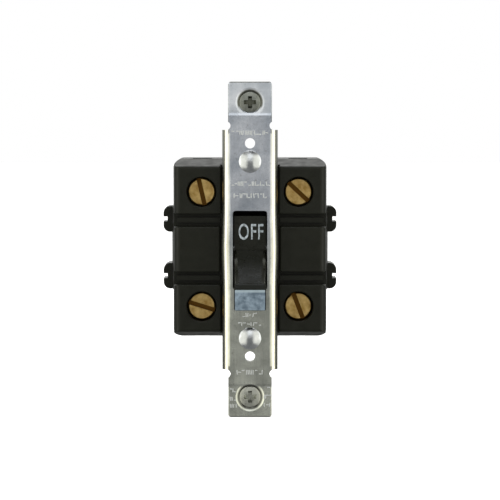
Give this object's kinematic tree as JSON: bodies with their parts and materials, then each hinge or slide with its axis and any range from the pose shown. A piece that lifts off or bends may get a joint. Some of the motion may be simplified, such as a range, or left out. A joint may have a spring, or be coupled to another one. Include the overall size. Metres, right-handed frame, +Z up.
{
  "type": "enclosed two-pole toggle disconnect switch",
  "caption": "Strap-mounted enclosed toggle disconnect switch: black moulded housing with brass screw terminals, a steel strap and a lever that drives a contact crossbar.",
  "frame": {"origin": "midpoint of the two cover-plate screw holes, at the strap's rear face", "axes": "+X right seen from the front, +Y into the wall box, +Z up along the strap; OFF is down"},
  "size_m": [0.0498, 0.0449, 0.0948],
  "materials": {
    "plated_steel_strap": "zinc-plated pressed steel, satin",
    "black_thermoset": "black compression-moulded phenolic",
    "toggle_black": "black moulded toggle, satin",
    "rivet_steel": "plated rivet",
    "bright_steel": "plated steel",
    "screw_steel": "zinc-plated screw",
    "brown_moulding": "brown phenolic moulding",
    "spring_steel": "spring wire",
    "copper": "bare copper strip",
    "silver": "silver alloy contact",
    "brass_strip": "stamped brass strip",
    "brass_screw": "dull turned brass",
    "red_fibre": "vulcanised fibre"
  },
  "bodies": {
    "housing": {"strap": "plated_steel_strap", "front_cover": "black_thermoset", "rear_base": "black_thermoset", "housing_rivets": "rivet_steel", "pivot_pin": "bright_steel", "return_spring": "spring_steel", "terminal_plate_tl": "brass_strip", "terminal_plate_tr": "brass_strip", "terminal_plate_bl": "brass_strip", "terminal_plate_br": "brass_strip", "fixed_contact_tl": "silver", "fixed_contact_tr": "silver", "fixed_contact_bl": "silver", "fixed_contact_br": "silver"},
    "toggle": {"toggle_handle": "toggle_black"},
    "contact_bar": {"crossbar": "brown_moulding", "bridge_left": "copper", "bridge_right": "copper", "bridge_tips_left": "silver", "bridge_tips_right": "silver", "contact_spring_left": "spring_steel", "contact_spring_right": "spring_steel"},
    "clamp_tl": {"clamp_plate_tl": "bright_steel"},
    "screw_tl": {"terminal_screw_tl": "brass_screw"},
    "clamp_tr": {"clamp_plate_tr": "bright_steel"},
    "screw_tr": {"terminal_screw_tr": "brass_screw"},
    "clamp_bl": {"clamp_plate_bl": "bright_steel"},
    "screw_bl": {"terminal_screw_bl": "brass_screw"},
    "clamp_br": {"clamp_plate_br": "bright_steel"},
    "screw_br": {"terminal_screw_br": "brass_screw"},
    "retainer_top": {"screw_retainer_top": "red_fibre"},
    "box_screw_top": {"mounting_screw_top": "screw_steel"},
    "retainer_bottom": {"screw_retainer_bottom": "red_fibre"},
    "box_screw_bottom": {"mounting_screw_bottom": "screw_steel"}
  },
  "joints": [
    {"name": "toggle_throw", "type": "hinge", "parent": "housing", "child": "toggle", "pos_m": [0, 0.0095, 0], "axis": [-1, 0, 0], "range_deg": [0, 60]},
    {"name": "contact_bar_slide", "type": "slide", "parent": "housing", "child": "contact_bar", "axis": [0, 1, 0], "range_m": [0, 0.0037], "deforming": ["return_spring"]},
    {"name": "clamp_travel_tl", "type": "slide", "parent": "housing", "child": "clamp_tl", "axis": [0, -1, 0], "range_m": [0, 0.00238]},
    {"name": "screw_turn_tl", "type": "hinge", "parent": "clamp_tl", "child": "screw_tl", "pos_m": [-0.01375, 0.0045, 0.0163], "axis": [0, -1, 0], "range_deg": [0, 1080]},
    {"name": "clamp_travel_tr", "type": "slide", "parent": "housing", "child": "clamp_tr", "axis": [0, -1, 0], "range_m": [0, 0.00238]},
    {"name": "screw_turn_tr", "type": "hinge", "parent": "clamp_tr", "child": "screw_tr", "pos_m": [0.01375, 0.0045, 0.0163], "axis": [0, -1, 0], "range_deg": [0, 1080]},
    {"name": "clamp_travel_bl", "type": "slide", "parent": "housing", "child": "clamp_bl", "axis": [0, -1, 0], "range_m": [0, 0.00238]},
    {"name": "screw_turn_bl", "type": "hinge", "parent": "clamp_bl", "child": "screw_bl", "pos_m": [-0.01375, 0.0045, -0.0163], "axis": [0, -1, 0], "range_deg": [0, 1080]},
    {"name": "clamp_travel_br", "type": "slide", "parent": "housing", "child": "clamp_br", "axis": [0, -1, 0], "range_m": [0, 0.00238]},
    {"name": "screw_turn_br", "type": "hinge", "parent": "clamp_br", "child": "screw_br", "pos_m": [0.01375, 0.0045, -0.0163], "axis": [0, -1, 0], "range_deg": [0, 1080]},
    {"name": "retainer_slide_top", "type": "slide", "parent": "housing", "child": "retainer_top", "axis": [0, -1, 0], "range_m": [0, 0.0022]},
    {"name": "box_screw_turn_top", "type": "hinge", "parent": "retainer_top", "child": "box_screw_top", "pos_m": [0, 0, 0.04167], "axis": [0, -1, 0], "continuous": true},
    {"name": "retainer_slide_bottom", "type": "slide", "parent": "housing", "child": "retainer_bottom", "axis": [0, -1, 0], "range_m": [0, 0.0022]},
    {"name": "box_screw_turn_bottom", "type": "hinge", "parent": "retainer_bottom", "child": "box_screw_bottom", "pos_m": [0, 0, -0.04167], "axis": [0, -1, 0], "continuous": true}
  ],
  "couplings": [
    {"joint": "contact_bar_slide", "follows": "toggle_throw", "m_per_rad": 0.003533},
    {"joint": "screw_turn_tl", "follows": "clamp_travel_tl", "rad_per_m": 7915},
    {"joint": "screw_turn_tr", "follows": "clamp_travel_tr", "rad_per_m": 7915},
    {"joint": "screw_turn_bl", "follows": "clamp_travel_bl", "rad_per_m": 7915},
    {"joint": "screw_turn_br", "follows": "clamp_travel_br", "rad_per_m": 7915}
  ]
}
